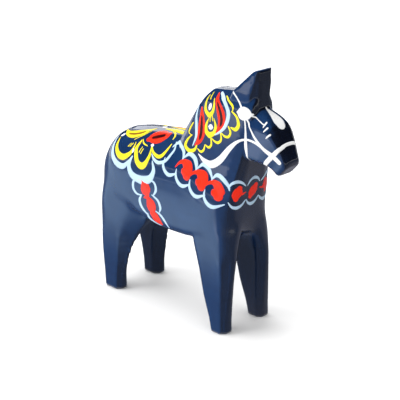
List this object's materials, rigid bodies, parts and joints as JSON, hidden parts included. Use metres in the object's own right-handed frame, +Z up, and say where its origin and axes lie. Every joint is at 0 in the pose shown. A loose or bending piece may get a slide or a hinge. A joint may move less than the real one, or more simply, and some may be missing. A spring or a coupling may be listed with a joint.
{
  "type": "painted wooden horse",
  "caption": "Carved wooden toy horse standing on straight legs, lacquered dark blue and painted with a bridle, mane ornament, saddle, girth and breast band.",
  "frame": {"origin": "middle of the bounding box, on the ground under the belly", "axes": "+X toward the head, +Y to the horse's left side, +Z up"},
  "size_m": [0.1224, 0.0354, 0.13],
  "materials": {
    "navy_lacquered_wood": "high gloss navy lacquer over smooth pine",
    "white_paint": "gloss enamel, brushed by hand",
    "light_blue_paint": "gloss enamel, brushed by hand",
    "red_paint": "gloss enamel, brushed by hand",
    "yellow_paint": "gloss enamel, brushed by hand"
  },
  "bodies": {
    "root": {"carved_body": "navy_lacquered_wood", "rosettes": "white_paint", "noseband": "white_paint", "head_straps": "white_paint", "reins": "white_paint", "eyelashes": "white_paint", "blaze": "white_paint", "mane_blue": "light_blue_paint", "mane_red": "red_paint", "mane_rings": "yellow_paint", "mane_dots": "white_paint", "mane_scallops": "yellow_paint", "breast_blue": "light_blue_paint", "breast_flames": "red_paint", "chest_flame": "red_paint", "girth_blue": "light_blue_paint", "girth_flames": "red_paint", "saddle_blue": "light_blue_paint", "saddle_yellow": "yellow_paint", "saddle_red": "red_paint", "saddle_petals": "yellow_paint", "saddle_curls": "yellow_paint", "saddle_dots": "white_paint"}
  },
  "joints": []
}
